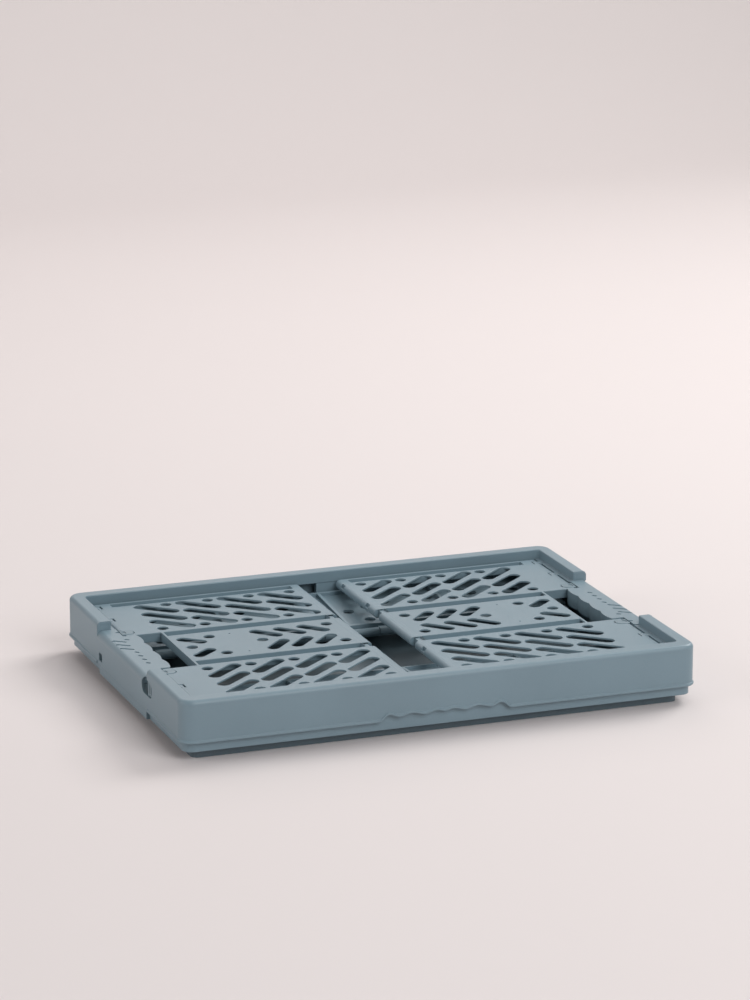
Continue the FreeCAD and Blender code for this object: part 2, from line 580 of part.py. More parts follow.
def build():
    """Make every sub-part, by name."""
    lower = place_lower(half_wall(1, 0, BORE_RADIUS))
    upper_front = place_upper(half_wall(1, 1, BORE_RADIUS))
    upper_back = place_upper(half_wall(1, 1, OPEN_BORE_RADIUS))
    parts = {
        "base_tray": base_tray(),
        "lower_wall_front": lower,
        "lower_wall_back": mirrored_y(lower),
        "upper_wall_front": upper_front,
        "upper_wall_back": mirrored_y(upper_back),
        "rim_frame": rim_frame(),
    }
    for name, make in (("end_wall", end_wall), ("handle_grip", handle_grip), ("handle_plug", handle_plug)):
        parts[name + "_left"] = make()
        parts[name + "_right"] = half_turn(parts[name + "_left"])
    parts["hinge_caps_left"] = hinge_caps(-1)
    parts["hinge_caps_right"] = hinge_caps(1)
    parts.update(rods())
    return parts


os.makedirs("parts", exist_ok=True)
for part_name, part_shape in build().items():
    print(part_name, len(part_shape.Solids), "solids", round(part_shape.Volume / 1000.0, 2), "cm3",
          "valid" if part_shape.isValid() else "NOT VALID")
    part_shape.exportStep(os.path.join("parts", part_name + ".step"))
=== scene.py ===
"""Looks of a folding storage crate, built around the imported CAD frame. Every size is in metres."""
import json
import logging
import math
from dataclasses import dataclass, field
from enum import Enum
from typing import Any, Iterable, Optional, Sequence

import bmesh
import bpy
from mathutils import Matrix, Vector


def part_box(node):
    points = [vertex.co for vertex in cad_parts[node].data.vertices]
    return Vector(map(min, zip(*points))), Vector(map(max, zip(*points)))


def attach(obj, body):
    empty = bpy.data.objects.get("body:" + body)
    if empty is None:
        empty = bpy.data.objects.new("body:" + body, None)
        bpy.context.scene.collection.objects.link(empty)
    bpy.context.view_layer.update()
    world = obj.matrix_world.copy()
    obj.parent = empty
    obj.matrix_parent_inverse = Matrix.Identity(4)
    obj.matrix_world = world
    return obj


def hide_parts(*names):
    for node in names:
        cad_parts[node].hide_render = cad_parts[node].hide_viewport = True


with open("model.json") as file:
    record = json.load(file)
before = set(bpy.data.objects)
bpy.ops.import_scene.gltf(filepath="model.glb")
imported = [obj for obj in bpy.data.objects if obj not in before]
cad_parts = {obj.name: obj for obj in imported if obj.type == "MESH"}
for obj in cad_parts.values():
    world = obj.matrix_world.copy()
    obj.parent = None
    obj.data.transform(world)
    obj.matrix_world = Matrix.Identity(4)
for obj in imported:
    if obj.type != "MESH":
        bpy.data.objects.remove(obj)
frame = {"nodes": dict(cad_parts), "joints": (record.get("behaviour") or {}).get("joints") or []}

log = logging.getLogger("crate")
MM = 0.001
TINY = 0.001 * MM
HALF_TURN = Matrix.Rotation(math.pi, 4, "Z")
SMOOTH_BELOW = math.radians(40.0)
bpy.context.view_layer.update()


class Side(Enum):
    """Which end of the crate a piece belongs to."""

    LEFT = "left"
    RIGHT = "right"


# ---------------------------------------------------------------- shader maths


class Shade:
    """A socket of a shader tree that can be used in Python expressions."""

    def __init__(self, tree: bpy.types.NodeTree, socket: bpy.types.NodeSocket) -> None:
        """Wrap one output socket of a node tree."""
        self.tree, self.socket = tree, socket

    def _math(self, operation: str, first: Any, second: Any) -> "Shade":
        """The result of a Math node with that operation on two numbers or Shades."""
        return Board(self.tree).node("ShaderNodeMath", {"operation": operation}, {0: first, 1: second})

    def __add__(self, other: Any) -> "Shade":
        """Sum."""
        return self._math("ADD", self, other)

    def __radd__(self, other: Any) -> "Shade":
        """Sum with a number on the left."""
        return self._math("ADD", other, self)

    def __sub__(self, other: Any) -> "Shade":
        """Difference."""
        return self._math("SUBTRACT", self, other)

    def __rsub__(self, other: Any) -> "Shade":
        """Difference with a number on the left."""
        return self._math("SUBTRACT", other, self)

    def __mul__(self, other: Any) -> "Shade":
        """Product."""
        return self._math("MULTIPLY", self, other)

    def __rmul__(self, other: Any) -> "Shade":
        """Product with a number on the left."""
        return self._math("MULTIPLY", other, self)

    def clamped(self) -> "Shade":
        """The value kept between 0 and 1."""
        return Board(self.tree).node("ShaderNodeClamp", {}, {"Value": self})

    def ramp(self, low: float, high: float) -> "Shade":
        """0 below low, 1 above high and smooth between."""
        return Board(self.tree).node("ShaderNodeMapRange", {"interpolation_type": "SMOOTHSTEP"},
                                     {"Value": self, "From Min": low, "From Max": high})


class Board:
    """Makes nodes in one shader tree."""

    def __init__(self, tree: bpy.types.NodeTree) -> None:
        """Keep the tree that nodes are added to."""
        self.tree = tree

    @classmethod
    def start(cls, name: str) -> tuple[bpy.types.Material, "Board"]:
        """Make a node-based material with an empty tree.

        Args:
            name: the material's name.

        Returns:
            The material and the board that fills its tree.
        """
        material = bpy.data.materials.new(name)
        material.use_nodes = True
        material.node_tree.nodes.clear()
        return material, cls(material.node_tree)

    def node(self, kind: str, settings: dict[str, Any], inputs: dict[Any, Any], output: Any = 0) -> Shade:
        """Add any node.

        Args:
            kind: the node's type.
            settings: attributes that are set before the sockets are filled.
            inputs: socket name or index to a value or a Shade.
            output: name or index of the socket that is returned.

        Returns:
            The chosen output, which is empty for a node that has none.
        """
        made = self.tree.nodes.new(kind)
        for name, value in settings.items():
            setattr(made, name, value)
        for key, value in inputs.items():
            if isinstance(value, Shade):
                self.tree.links.new(value.socket, made.inputs[key])
            else:
                made.inputs[key].default_value = value
        return Shade(self.tree, made.outputs[output] if made.outputs else None)

    def noise(self, place: Shade, scale: float, detail: float, roughness: float = 0.5) -> Shade:
        """Cloudy noise at a place, from 0 to 1."""
        return self.node("ShaderNodeTexNoise", {}, {"Vector": place, "Scale": scale, "Detail": detail,
                                                    "Roughness": roughness})

    def stretch(self, place: Shade, scale: Sequence[float], turn: float = 0.0) -> Shade:
        """The place scaled along each axis and turned about Z."""
        return self.node("ShaderNodeMapping", {}, {"Vector": place, "Scale": scale,
                                                   "Rotation": (0.0, 0.0, turn)})

    def mix(self, factor: Any, first: Any, second: Any) -> Shade:
        """Blend two colours or Shades: a factor of 0 gives the first and 1 the second."""
        first, second = (item if isinstance(item, Shade) else (*item, 1.0) for item in (first, second))
        return self.node("ShaderNodeMix", {"data_type": "RGBA"}, {0: factor, 6: first, 7: second}, 2)

    def surface(self, inputs: dict[str, Any]) -> None:
        """Join a Principled shader with those inputs to the material's output."""
        shader = self.node("ShaderNodeBsdfPrincipled", {}, inputs)
        self.node("ShaderNodeOutputMaterial", {}, {"Surface": shader})


def tinted(colour: Sequence[float], share: float, lift: float = 0.0) -> tuple[float, ...]:
    """A colour scaled by a share, with an even lift added."""
    return tuple(min(1.0, channel * share + lift) for channel in colour)


# ---------------------------------------------------------------- finishes


@dataclass(frozen=True)
class MouldedPlastic:
    """Matt injection-moulded polypropylene.

    The colour drifts a little over each moulding, flow marks run along it, edges are rubbed paler, and a
    fine spark-eroded grain covers it. Below a set height only a share of the colour is left: painted shade
    on the inset foot and the floor inside.
    """

    name: str
    colour: tuple[float, float, float] = (0.176, 0.253, 0.298)
    roughness: float = 0.40
    grain: float = 0.35
    drift: float = 0.05
    wear: float = 0.35
    edge_radius: float = 0.6 * MM
    flow_axis: tuple[float, float, float] = (3.0, 14.0, 14.0)
    # Painted shade: the share of the colour left low down, and the height that it reaches.
    painted_shade_share: float = 1.0
    painted_shade_height: float = 7.6 * MM

    def build(self) -> bpy.types.Material:
        """Make the material.

        Returns:
            A node-based material that reads Object coordinates only.
        """
        material, board = Board.start(self.name)
        place = board.node("ShaderNodeTexCoord", {}, {}, "Object")
        cloud = board.noise(place, 9.0, 3.0)
        flow = board.noise(board.stretch(place, self.flow_axis), 4.0, 5.0, 0.65)
        speck = board.noise(place, 900.0, 2.0)
        grain = board.node("ShaderNodeTexVoronoi", {}, {"Vector": place, "Scale": 1500.0}, "Distance")
        scuff = board.noise(board.stretch(place, (40.0, 260.0, 90.0), 0.5), 3.0, 6.0).ramp(0.66, 0.8)

        rounded = board.node("ShaderNodeBevel", {"samples": 4}, {"Radius": self.edge_radius * 2.0})
        facing = board.node("ShaderNodeNewGeometry", {}, {}, "Normal")
        agreement = board.node("ShaderNodeVectorMath", {"operation": "DOT_PRODUCT"},
                               {0: rounded, 1: facing}, "Value")
        edge = (1.0 - agreement).ramp(0.01, 0.22)
        rubbed = (edge * flow.ramp(0.35, 0.6) * self.wear).clamped()

        worn = tinted(self.colour, 0.80, 0.10)
        tint = board.mix(cloud.ramp(0.3, 0.7) * 0.6 + flow * 0.4, tinted(self.colour, 1.0 - self.drift),
                         tinted(self.colour, 1.0 + self.drift * 1.6))
        # Painted shade: the colour is darkened below a set height, where the foot and the floor inside lie
        # in shade.
        if self.painted_shade_share < 1.0:
            level = board.node("ShaderNodeSeparateXYZ", {}, {"Vector": place}, "Z")
            tint = board.mix(level.ramp(self.painted_shade_height, self.painted_shade_height + 0.6 * MM),
                             tinted(self.colour, self.painted_shade_share), tint)
        tint = board.mix(speck.ramp(0.45, 0.75) * 0.10, tint, worn)
        tint = board.mix((rubbed + scuff * 0.05).clamped(), tint, worn)

        rough = cloud * 0.08 + flow * 0.06 + self.roughness - 0.07 + rubbed * 0.08 - scuff * 0.05
        height = grain * 0.5 + speck * 0.5 + flow * 0.6
        soft = board.node("ShaderNodeBevel", {"samples": 4}, {"Radius": self.edge_radius})
        bump = board.node("ShaderNodeBump", {}, {"Strength": self.grain, "Distance": 0.08 * MM,
                                                 "Height": height, "Normal": soft})
        board.surface({"Base Color": tint, "Roughness": rough.clamped(), "Normal": bump, "IOR": 1.49})
        return material


@dataclass(frozen=True)
class DrawnSteel:
    """Bright drawn steel rod with fine lines along it."""

    name: str
    colour: tuple[float, float, float] = (0.56, 0.56, 0.57)
    roughness: float = 0.32

    def build(self) -> bpy.types.Material:
        """Make the material.

        Returns:
            A node-based metal.
        """
        material, board = Board.start(self.name)
        place = board.node("ShaderNodeTexCoord", {}, {}, "Object")
        drawn = board.noise(board.stretch(place, (8.0, 900.0, 900.0)), 2.0, 4.0)
        stain = board.noise(place, 60.0, 4.0)
        tint = board.mix(stain.ramp(0.45, 0.7) * 0.5, self.colour, tinted(self.colour, 0.8))
        rough = drawn * 0.12 + stain * 0.1 + self.roughness - 0.1
        bump = board.node("ShaderNodeBump", {}, {"Strength": 0.2, "Distance": 0.03 * MM, "Height": drawn})
        board.surface({"Base Color": tint, "Roughness": rough.clamped(), "Normal": bump, "Metallic": 1.0})
        return material


@dataclass(frozen=True)
class StudioPaper:
    """Pale seamless backdrop, with no pattern that shows."""

    name: str
    colour: tuple[float, float, float] = (0.70, 0.65, 0.645)

    def build(self) -> bpy.types.Material:
        """Make the material.

        Returns:
            A matt, faintly uneven paper.
        """
        material, board = Board.start(self.name)
        place = board.node("ShaderNodeTexCoord", {}, {}, "Object")
        cloud = board.noise(place, 1.5, 2.0)
        tint = board.mix(cloud, tinted(self.colour, 0.985), self.colour)
        board.surface({"Base Color": tint, "Roughness": 0.75})
        return material


# ---------------------------------------------------------------- mesh tools


@dataclass(frozen=True)
class Slot:
    """A round-ended hole or pocket seen from above: span is between the centres of its ends."""

    x: float
    y: float
    angle: float
    span: float
    width: float
    depth: float = 0.0


PORT, PORT_DEPTH = Slot(0, 0, 0, 15.6 * MM, 14.4 * MM), 30.0 * MM
PORT_PLACE = (235.5 * MM, 75.0 * MM, 38.5 * MM)


class Moulding:
    """One piece's mesh while it is being modelled."""

    def __init__(self, name: str) -> None:
        """Start an empty mesh for the piece of that name."""
        self.name = name
        self.bm = bmesh.new()

    def box(self, low: Sequence[float], high: Sequence[float], round_by: float = 0.0) -> None:
        """Add a closed block.

        Args:
            low: one corner.
            high: the opposite corner.
            round_by: radius of its edges, or 0 for sharp ones.
        """
        made = bmesh.ops.create_cube(self.bm, size=1.0)["verts"]
        bmesh.ops.scale(self.bm, vec=[abs(b - a) for a, b in zip(low, high)], verts=made)
        bmesh.ops.translate(self.bm, vec=[(a + b) / 2 for a, b in zip(low, high)], verts=made)
        if round_by > 0:
            self.bevelled({edge for vert in made for edge in vert.link_edges}, round_by)

    def bar(self, radius: float, start: float, end: float, centre: Sequence[float], axis: str) -> None:
        """Add a closed round bar.

        Args:
            radius: its radius.
            start: where it starts along its axis.
            end: where it ends along its axis.
            centre: a point on its axis; the coordinate along the axis is ignored.
            axis: "X" or "Y".
        """
        turn = Matrix.Rotation(math.radians(90), 3, "Y" if axis == "X" else "X")
        made = bmesh.ops.create_cone(self.bm, cap_ends=True, cap_tris=False, segments=20, radius1=radius,
                                     radius2=radius, depth=abs(end - start))["verts"]
        bmesh.ops.rotate(self.bm, cent=(0, 0, 0), matrix=turn, verts=made)
        where = Vector(centre)
        where["XY".index(axis)] = (start + end) / 2
        bmesh.ops.translate(self.bm, vec=where, verts=made)

    def bevelled(self, edges: Iterable[Any], radius: float, segments: int = 2, clamp: bool = True) -> None:
        """Round some edges."""
        bmesh.ops.bevel(self.bm, geom=list(edges), offset=radius, offset_type="OFFSET", profile=0.5,
                        segments=segments, affect="EDGES", clamp_overlap=clamp, material=-1)

    def prism(self, points: Sequence[tuple[float, float]], axis: str, start: float, end: float,
              round_by: float = 0.0) -> None:
        """Add a closed bar with a drawn cross-section.

        Args:
            points: the cross-section, in the two axes that the bar doesn't run along.
            axis: "X", "Y" or "Z".
            start: where it starts along its axis.
            end: where it ends along its axis.
            round_by: radius round both ends, or round the top alone of an upright bar.
        """
        before, along = set(self.bm.faces), "XYZ".index(axis)
        corners = [list(point) for point in points]
        for corner in corners:
            corner.insert(along, start)
        way = Vector((0, 0, 0))
        way[along] = end - start
        self._pull(self.bm.faces.new([self.bm.verts.new(corner) for corner in corners]), way)
        if round_by > 0:
            upright = axis == "Z"
            places = (end,) if upright else (start, end)
            caps = [face for face in set(self.bm.faces) - before for place in places
                    if all(abs(vert.co[along] - place) < TINY for vert in face.verts)]
            self.bevelled({edge for face in caps for edge in face.edges}, round_by, 3 if upright else 2)

    def _pull(self, face: Any, way: Vector) -> None:
        """Turn a flat face into a closed block by pulling a copy of it along a vector."""
        made = bmesh.ops.extrude_face_region(self.bm, geom=[face], use_keep_orig=True)["geom"]
        bmesh.ops.translate(self.bm, vec=way, verts=[v for v in made if isinstance(v, bmesh.types.BMVert)])

    def stadium(self, slot: Slot, bottom: float, top: float) -> None:
        """Add a closed block with a slot's outline, as a cutter."""
        face = self.bm.faces.new(self.ordered(self.slot_loop(slot, bottom)))
        self._pull(face, Vector((0, 0, top - bottom)))

    def oval_port(self, end: int) -> None:
        """Add the oval cutter for the port at one end of a grip: -1 is the left end, 1 the right."""
        before = set(self.bm.verts)
        self.stadium(PORT, 0.0, PORT_DEPTH)
        made = [vert for vert in self.bm.verts if vert not in before]
        turn = Matrix.Rotation(math.pi / 2, 3, "X") @ Matrix.Rotation(math.pi / 2, 3, "Y")
        bmesh.ops.rotate(self.bm, cent=(0, 0, 0), matrix=turn, verts=made)
        bmesh.ops.translate(self.bm, vec=PORT_PLACE, verts=made)
        if end < 0:
            bmesh.ops.rotate(self.bm, cent=(0, 0, 0), matrix=Matrix.Rotation(math.pi, 3, "Z"), verts=made)

    def carve(self, cutter: "Moulding") -> None:
        """Cut the shapes of another mesh out of this one, which uses the other mesh up."""
        bmesh.ops.recalc_face_normals(self.bm, faces=self.bm.faces)
        bmesh.ops.recalc_face_normals(cutter.bm, faces=cutter.bm.faces)
        pair = []
        for name, source in (("carved", self.bm), ("knife", cutter.bm)):
            mesh = bpy.data.meshes.new(name)
            source.to_mesh(mesh)
            source.free()
            pair.append(linked(name, mesh))
        cut = pair[0].modifiers.new("cut", "BOOLEAN")
        cut.operation, cut.solver, cut.use_self, cut.object = "DIFFERENCE", "EXACT", True, pair[1]
        depsgraph = bpy.context.evaluated_depsgraph_get()
        result = bpy.data.meshes.new_from_object(pair[0].evaluated_get(depsgraph))
        self.bm = bmesh.new()
        self.bm.from_mesh(result)
        bpy.data.meshes.remove(result)
        for made in pair:
            mesh = made.data
            bpy.data.objects.remove(made)
            bpy.data.meshes.remove(mesh)

    def polygon_loop(self, points: Sequence[tuple[float, float]], z: float) -> list:
        """Add a closed loop of edges through (x, y) points at one height."""
        verts = [self.bm.verts.new((x, y, z)) for x, y in points]
        return [self.bm.edges.new((verts[i], verts[(i + 1) % len(verts)])) for i in range(len(verts))]

    def slot_loop(self, slot: Slot, z: float, segments: int = 16) -> list:
        """Add the outline of a slot as a closed loop of edges.

        Args:
            slot: the slot.
            z: its height.
            segments: edges round the outline of both ends together.

        Returns:
            The loop's edges.
        """
        made = bmesh.ops.create_circle(self.bm, cap_ends=False, segments=segments,
                                       radius=slot.width / 2)["verts"]
        bmesh.ops.rotate(self.bm, cent=(0, 0, 0), verts=made,
                         matrix=Matrix.Rotation(math.pi / segments, 3, "Z"))
        for vert in made:
            vert.co.x += math.copysign(slot.span / 2, vert.co.x)
        bmesh.ops.rotate(self.bm, cent=(0, 0, 0), verts=made,
                         matrix=Matrix.Rotation(math.radians(slot.angle), 3, "Z"))
        bmesh.ops.translate(self.bm, vec=(slot.x, slot.y, z), verts=made)
        return list({edge for vert in made for edge in vert.link_edges})

    def rectangle_loop(self, half: Sequence[float], centre: Sequence[float], z: float,
                       radius: float, segments: int = 5) -> list:
        """Add a rectangle with round corners as a closed loop of edges.

        Args:
            half: half its size along X and Y.
            centre: its centre.
            z: its height.
            radius: radius of its corners.
            segments: edges round each corner.

        Returns:
            The loop's edges.
        """
        made = bmesh.ops.create_grid(self.bm, x_segments=1, y_segments=1, size=1.0)["verts"]
        bmesh.ops.scale(self.bm, vec=(half[0], half[1], 1), verts=made)
        bmesh.ops.translate(self.bm, vec=(centre[0], centre[1], z), verts=made)
        if radius > 0:
            made = bmesh.ops.bevel(self.bm, geom=made, offset=radius, offset_type="OFFSET",
                                   segments=segments, profile=0.5, affect="VERTICES",
                                   clamp_overlap=False, material=-1)["verts"]
        face = made[0].link_faces[0]
        edges = list(face.edges)
        bmesh.ops.delete(self.bm, geom=[face], context="FACES_ONLY")
        return edges

    def sweep(self, section: Sequence[tuple[float, float, float, float]]) -> None:
        """Carry a cross-section round a rectangle with round corners, as a closed ring.

        Args:
            section: half length, half width, corner radius and height of each station, in order.
        """
        edges = self.rectangle_loop(section[0][:2], (0, 0), section[0][3], section[0][2], 8)
        centre = Vector((section[0][0] - section[0][2], section[0][1] - section[0][2], 0))
        for length, width, radius, height in [*section[1:], section[0]]:
            made = bmesh.ops.extrude_edge_only(self.bm, edges=edges)["geom"]
            edges = [item for item in made if isinstance(item, bmesh.types.BMEdge)]
            nearer = Vector((length - radius, width - radius, 0))
            for vert in {v for edge in edges for v in edge.verts}:
                corner = Vector((math.copysign(1, vert.co.x), math.copysign(1, vert.co.y), 0))
                outwards = Vector((vert.co.x, vert.co.y, 0)) - corner * centre
                vert.co = corner * nearer + outwards.normalized() * radius + Vector((0, 0, height))
            centre = nearer
        bmesh.ops.remove_doubles(self.bm, verts=self.bm.verts, dist=TINY)

    @staticmethod
    def ordered(edges: Iterable[Any]) -> list:
        """The vertices of a closed loop of edges, in order round it."""
        edges = list(edges)
        first = edges[0].verts[0]
        chain, vert, allowed = [first], edges[0].verts[1], set(edges)
        previous = edges[0]
        while vert is not first:
            chain.append(vert)
            previous = next(e for e in vert.link_edges if e in allowed and e is not previous)
            vert = previous.other_vert(vert)
        return chain

    def sink(self, edges: list, steps: Sequence[tuple[float, float]], sign: float) -> list:
        """Extrude a flat closed loop in steps, widening or narrowing it on the way.

        Args:
            edges: the loop.
            steps: for each step, how far it lies outwards from the first loop, and its height above it.
            sign: 1 where outwards means away from the loop's middle, -1 for the wall of a hole.

        Returns:
            The last loop's edges.
        """
        ring = self.ordered(edges)
        count = len(ring)
        area = sum(ring[i].co.x * ring[(i + 1) % count].co.y - ring[(i + 1) % count].co.x * ring[i].co.y
                   for i in range(count))
        spin = math.copysign(1.0, area) * sign
        base, normals = [vert.co.copy() for vert in ring], []
        for index in range(count):
            before = (base[index] - base[index - 1]).normalized()
            after = (base[(index + 1) % count] - base[index]).normalized()
            mitre = Vector((before.y + after.y, -before.x - after.x, 0)) * spin
            normals.append(mitre * (2.0 / max(mitre.length_squared, 1e-12)))
        current = {vert: index for index, vert in enumerate(ring)}
        for offset, rise in steps:
            made = bmesh.ops.extrude_edge_only(self.bm, edges=edges)["geom"]
            fresh = [item for item in made if isinstance(item, bmesh.types.BMVert)]
            edges = [item for item in made if isinstance(item, bmesh.types.BMEdge)
                     and item.verts[0] in fresh and item.verts[1] in fresh]
            following = {}
            for vert in fresh:
                old = next(e.other_vert(vert) for e in vert.link_edges if e.other_vert(vert) in current)
                index = current[old]
                vert.co = base[index] + normals[index] * offset + Vector((0, 0, rise))
                following[vert] = index
            current = following
        return edges

    def fill(self, edges: Iterable[Any]) -> None:
        """Close a flat region whose outline and holes are those edges."""
        bmesh.ops.triangle_fill(self.bm, use_beauty=True, use_dissolve=False, edges=list(edges))

    def plate(self, outline: list, holes: Sequence[Slot], top: float, thickness: float, round_by: float,
              pockets: Sequence[tuple] = (), bosses: Sequence[tuple] = (), boss_depth: float = 0.0) -> None:
        """Close a flat plate with rounded upper edges, holes, pockets above and bosses below.

        Args:
            outline: edges of the flat top's outline; the plate grows outwards from it by round_by.
            holes: slots; one with a depth is a pocket.
            top: height of its upper face.
            thickness: its thickness.
            round_by: radius along its upper edges.
            pockets: (half size, centre, corner radius, depth) of rectangular pockets.
            bosses: (half size, centre, corner radius) of rectangular bosses under it.
            boss_depth: how far the bosses stand out.
        """
        steps = 3
        arc = [(round_by * math.sin(math.pi / 2 * i / steps),
                -round_by * (1 - math.cos(math.pi / 2 * i / steps))) for i in range(1, steps + 1)]
        upper = list(outline)
        lower = self.sink(outline, arc + [(round_by, -thickness)], 1.0)
        loops = [(self.slot_loop(Slot(s.x, s.y, s.angle, s.span, s.width + 2 * round_by), top, 20), s.depth)
                 for s in holes]
        loops += [(self.rectangle_loop([h + round_by for h in half], centre, top, radius + round_by), depth)
                  for half, centre, radius, depth in pockets]
        for loop, depth in loops:
            upper += loop
            end = self.sink(loop, arc + [(round_by, -(depth or thickness))], -1.0)
            if depth:
                self.fill(end)
            else:
                lower += end
        for half, centre, radius in bosses:
            loop = self.rectangle_loop(half, centre, top - thickness, radius, 3)
            lower += loop
            self.fill(self.sink(loop, [(0.0, -boss_depth)], 1.0))
        self.fill(upper)
        self.fill(lower)

    def finish(self, material: bpy.types.Material, body: str, nodes: Sequence[str], slot: str,
               place: Optional[Matrix] = None) -> bpy.types.Object:
        """Turn the mesh into a piece of the crate.

        Args:
            material: its finish.
            body: the CAD body it rides on.
            nodes: the CAD nodes it stands for.
            slot: a material slot name, which is not used.
            place: a transform that is applied to the mesh, or None.

        Returns:
            The new object.
        """
        bmesh.ops.remove_doubles(self.bm, verts=self.bm.verts, dist=TINY)
        if place is not None:
            bmesh.ops.transform(self.bm, matrix=place, verts=self.bm.verts)
        bmesh.ops.recalc_face_normals(self.bm, faces=self.bm.faces)
        mesh = bpy.data.meshes.new(self.name)
        self.bm.to_mesh(mesh)
        self.bm.free()
        mesh.materials.append(material)
        mesh.shade_smooth()
        mesh.set_sharp_from_angle(angle=SMOOTH_BELOW)
        made = linked(self.name, mesh)
        weighted = made.modifiers.new("even_shading", "WEIGHTED_NORMAL")
        weighted.keep_sharp = True
        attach(made, body)
        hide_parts(*nodes)
        log.info("%s: %d faces, rides on %s", self.name, len(mesh.polygons), body)
        return made


def linked(name: str, data: Any) -> bpy.types.Object:
    """A new object with that data, in the scene."""
    made = bpy.data.objects.new(name, data)
    bpy.context.scene.collection.objects.link(made)
    return made


def joint_place(name: str) -> Vector:
    """A point on the axis of the joint of that name, at rest."""
    return Vector(next(joint["pos_m"] for joint in frame["joints"] if joint["name"] == name))


# ---------------------------------------------------------------- sub-assemblies

CAP_PLACE, CAP_REACH = 62.0 * MM, 3.5 * MM
CAP_NOTCH = 6.4 * MM
LUGS = ((100.0 * MM, 108.0 * MM), (141.0 * MM, 149.0 * MM))
KNUCKLE = 3.3 * MM
NEAR = 0.05 * MM


@dataclass
class EndPiece:
    """A piece at one end of the crate: modelled at the left end, and turned half round for the right."""

    side: Side

    def finished(self, piece: Moulding, finish: bpy.types.Material, body: str, node: str,
                 slot: str) -> bpy.types.Object:
        """Finish a piece modelled at the left end; node is the CAD node's name without the side."""
        turned = HALF_TURN if self.side is Side.RIGHT else None
        return piece.finish(finish, body, [f"{node}_{self.side.value}"], slot, turned)


